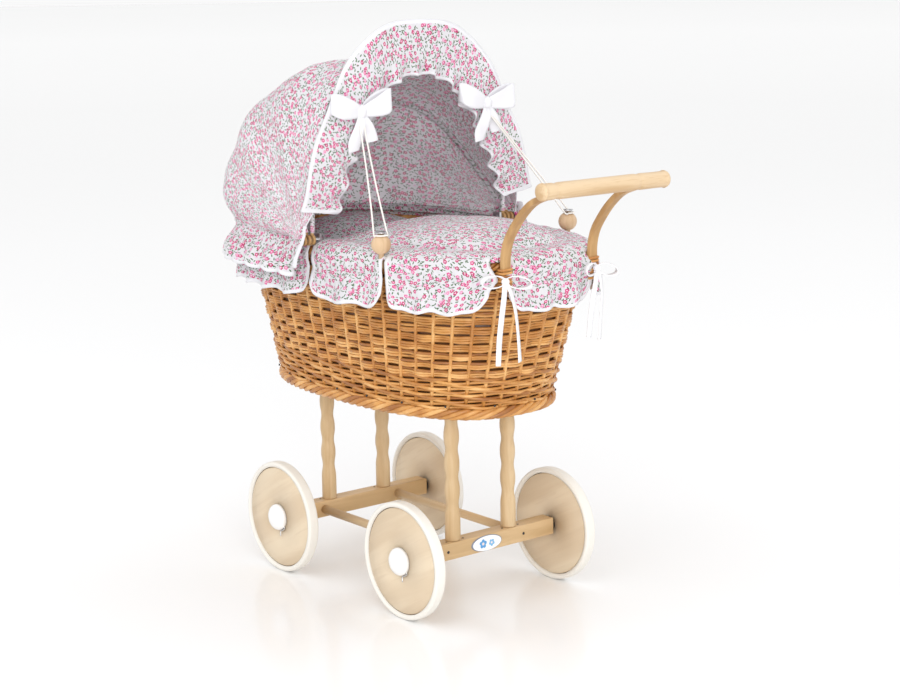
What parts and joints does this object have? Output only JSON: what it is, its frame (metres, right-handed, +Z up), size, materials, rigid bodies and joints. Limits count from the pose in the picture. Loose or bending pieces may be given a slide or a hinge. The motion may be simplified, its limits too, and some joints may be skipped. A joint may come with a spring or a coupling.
{
  "type": "doll stroller",
  "caption": "Wicker doll stroller on wooden wheels with a turned beech undercarriage, a folding fabric hood, bedding and a push handle.",
  "frame": {"origin": "middle of the overall length and width, on the floor under the tyres", "axes": "+Z up, +X along the stroller towards the push handle, the hood is at -X, Y across it"},
  "size_m": [0.6118, 0.344, 0.667],
  "materials": {
    "beech": "satin waxed beech",
    "wheel_wood": "fine sanded limewood ply",
    "bent_wood": "satin bent willow",
    "plywood": "raw plywood",
    "wicker": "boiled peeled willow, half gloss",
    "white_rubber": "matt off-white rubber",
    "white_plastic": "glossy moulded",
    "steel": "bright zinc",
    "dark_steel": "blackened",
    "label": null,
    "floral_cotton": "white cotton with a small pink and green flower print",
    "plain_cotton": "plain woven cotton",
    "cotton_tape": "white twill tape and bias binding",
    "satin_ribbon": "white satin",
    "elastic": "braided white elastic"
  },
  "bodies": {
    "root": {"front_axle_beam": "beech", "front_axle": "steel", "front_left_post": "beech", "front_left_washer": "dark_steel", "front_right_post": "beech", "front_right_washer": "dark_steel", "rear_axle_beam": "beech", "rear_axle": "steel", "rear_left_post": "beech", "rear_left_washer": "dark_steel", "rear_right_post": "beech", "rear_right_washer": "dark_steel", "left_stretcher": "beech", "right_stretcher": "beech", "name_plate": "label", "basket_wall": "wicker", "basket_foot_border": "wicker", "basket_rim_border": "wicker", "basket_bottom_board": "plywood", "left_handle_arm": "bent_wood", "right_handle_arm": "bent_wood", "push_bar": "beech", "left_hood_knob": "beech", "left_knob_screw": "steel", "right_hood_knob": "beech", "right_knob_screw": "steel", "liner_skirt": "floral_cotton", "mattress": "plain_cotton", "quilt": "floral_cotton", "pillow": "floral_cotton", "hood_rear_panel": "floral_cotton", "hood_rear_hoop": "bent_wood", "hood_flounce": "floral_cotton", "left_hood_bracket": "steel", "left_hood_pin": "steel", "left_elastic": "elastic", "left_tape_tie": "cotton_tape", "right_hood_bracket": "steel", "right_hood_pin": "steel", "right_elastic": "elastic", "right_tape_tie": "cotton_tape"},
    "front_left_wheel": {"front_left_wheel_disc": "wheel_wood", "front_left_tyre": "white_rubber", "front_left_hub_cap": "white_plastic"},
    "front_right_wheel": {"front_right_wheel_disc": "wheel_wood", "front_right_tyre": "white_rubber", "front_right_hub_cap": "white_plastic"},
    "rear_left_wheel": {"rear_left_wheel_disc": "wheel_wood", "rear_left_tyre": "white_rubber", "rear_left_hub_cap": "white_plastic"},
    "rear_right_wheel": {"rear_right_wheel_disc": "wheel_wood", "rear_right_tyre": "white_rubber", "rear_right_hub_cap": "white_plastic"},
    "hood_front": {"hood_front_hoop": "bent_wood", "hood_front_panel": "floral_cotton", "hood_brim": "floral_cotton", "left_bow": "satin_ribbon", "right_bow": "satin_ribbon"},
    "hood_mid": {"hood_mid_hoop": "bent_wood", "hood_mid_panel": "floral_cotton"}
  },
  "joints": [
    {"name": "front_left_wheel_spin", "type": "hinge", "parent": "root", "child": "front_left_wheel", "pos_m": [-0.15568, -0.113, 0.068], "axis": [0, 1, 0], "continuous": true},
    {"name": "front_right_wheel_spin", "type": "hinge", "parent": "root", "child": "front_right_wheel", "pos_m": [-0.15568, 0.113, 0.068], "axis": [0, 1, 0], "continuous": true},
    {"name": "rear_left_wheel_spin", "type": "hinge", "parent": "root", "child": "rear_left_wheel", "pos_m": [0.08792, -0.113, 0.068], "axis": [0, 1, 0], "continuous": true},
    {"name": "rear_right_wheel_spin", "type": "hinge", "parent": "root", "child": "rear_right_wheel", "pos_m": [0.08792, 0.113, 0.068], "axis": [0, 1, 0], "continuous": true},
    {"name": "hood_fold", "type": "hinge", "parent": "root", "child": "hood_front", "pos_m": [-0.03388, 0, 0.4241], "axis": [0, -1, 0], "range_deg": [0, 50], "deforming": ["left_elastic", "right_elastic"]},
    {"name": "hood_mid_fold", "type": "hinge", "parent": "root", "child": "hood_mid", "pos_m": [-0.03388, 0, 0.4241], "axis": [0, -1, 0], "range_deg": [0, 30]}
  ],
  "couplings": [
    {"joint": "hood_mid_fold", "follows": "hood_fold", "ratio": 0.6}
  ]
}
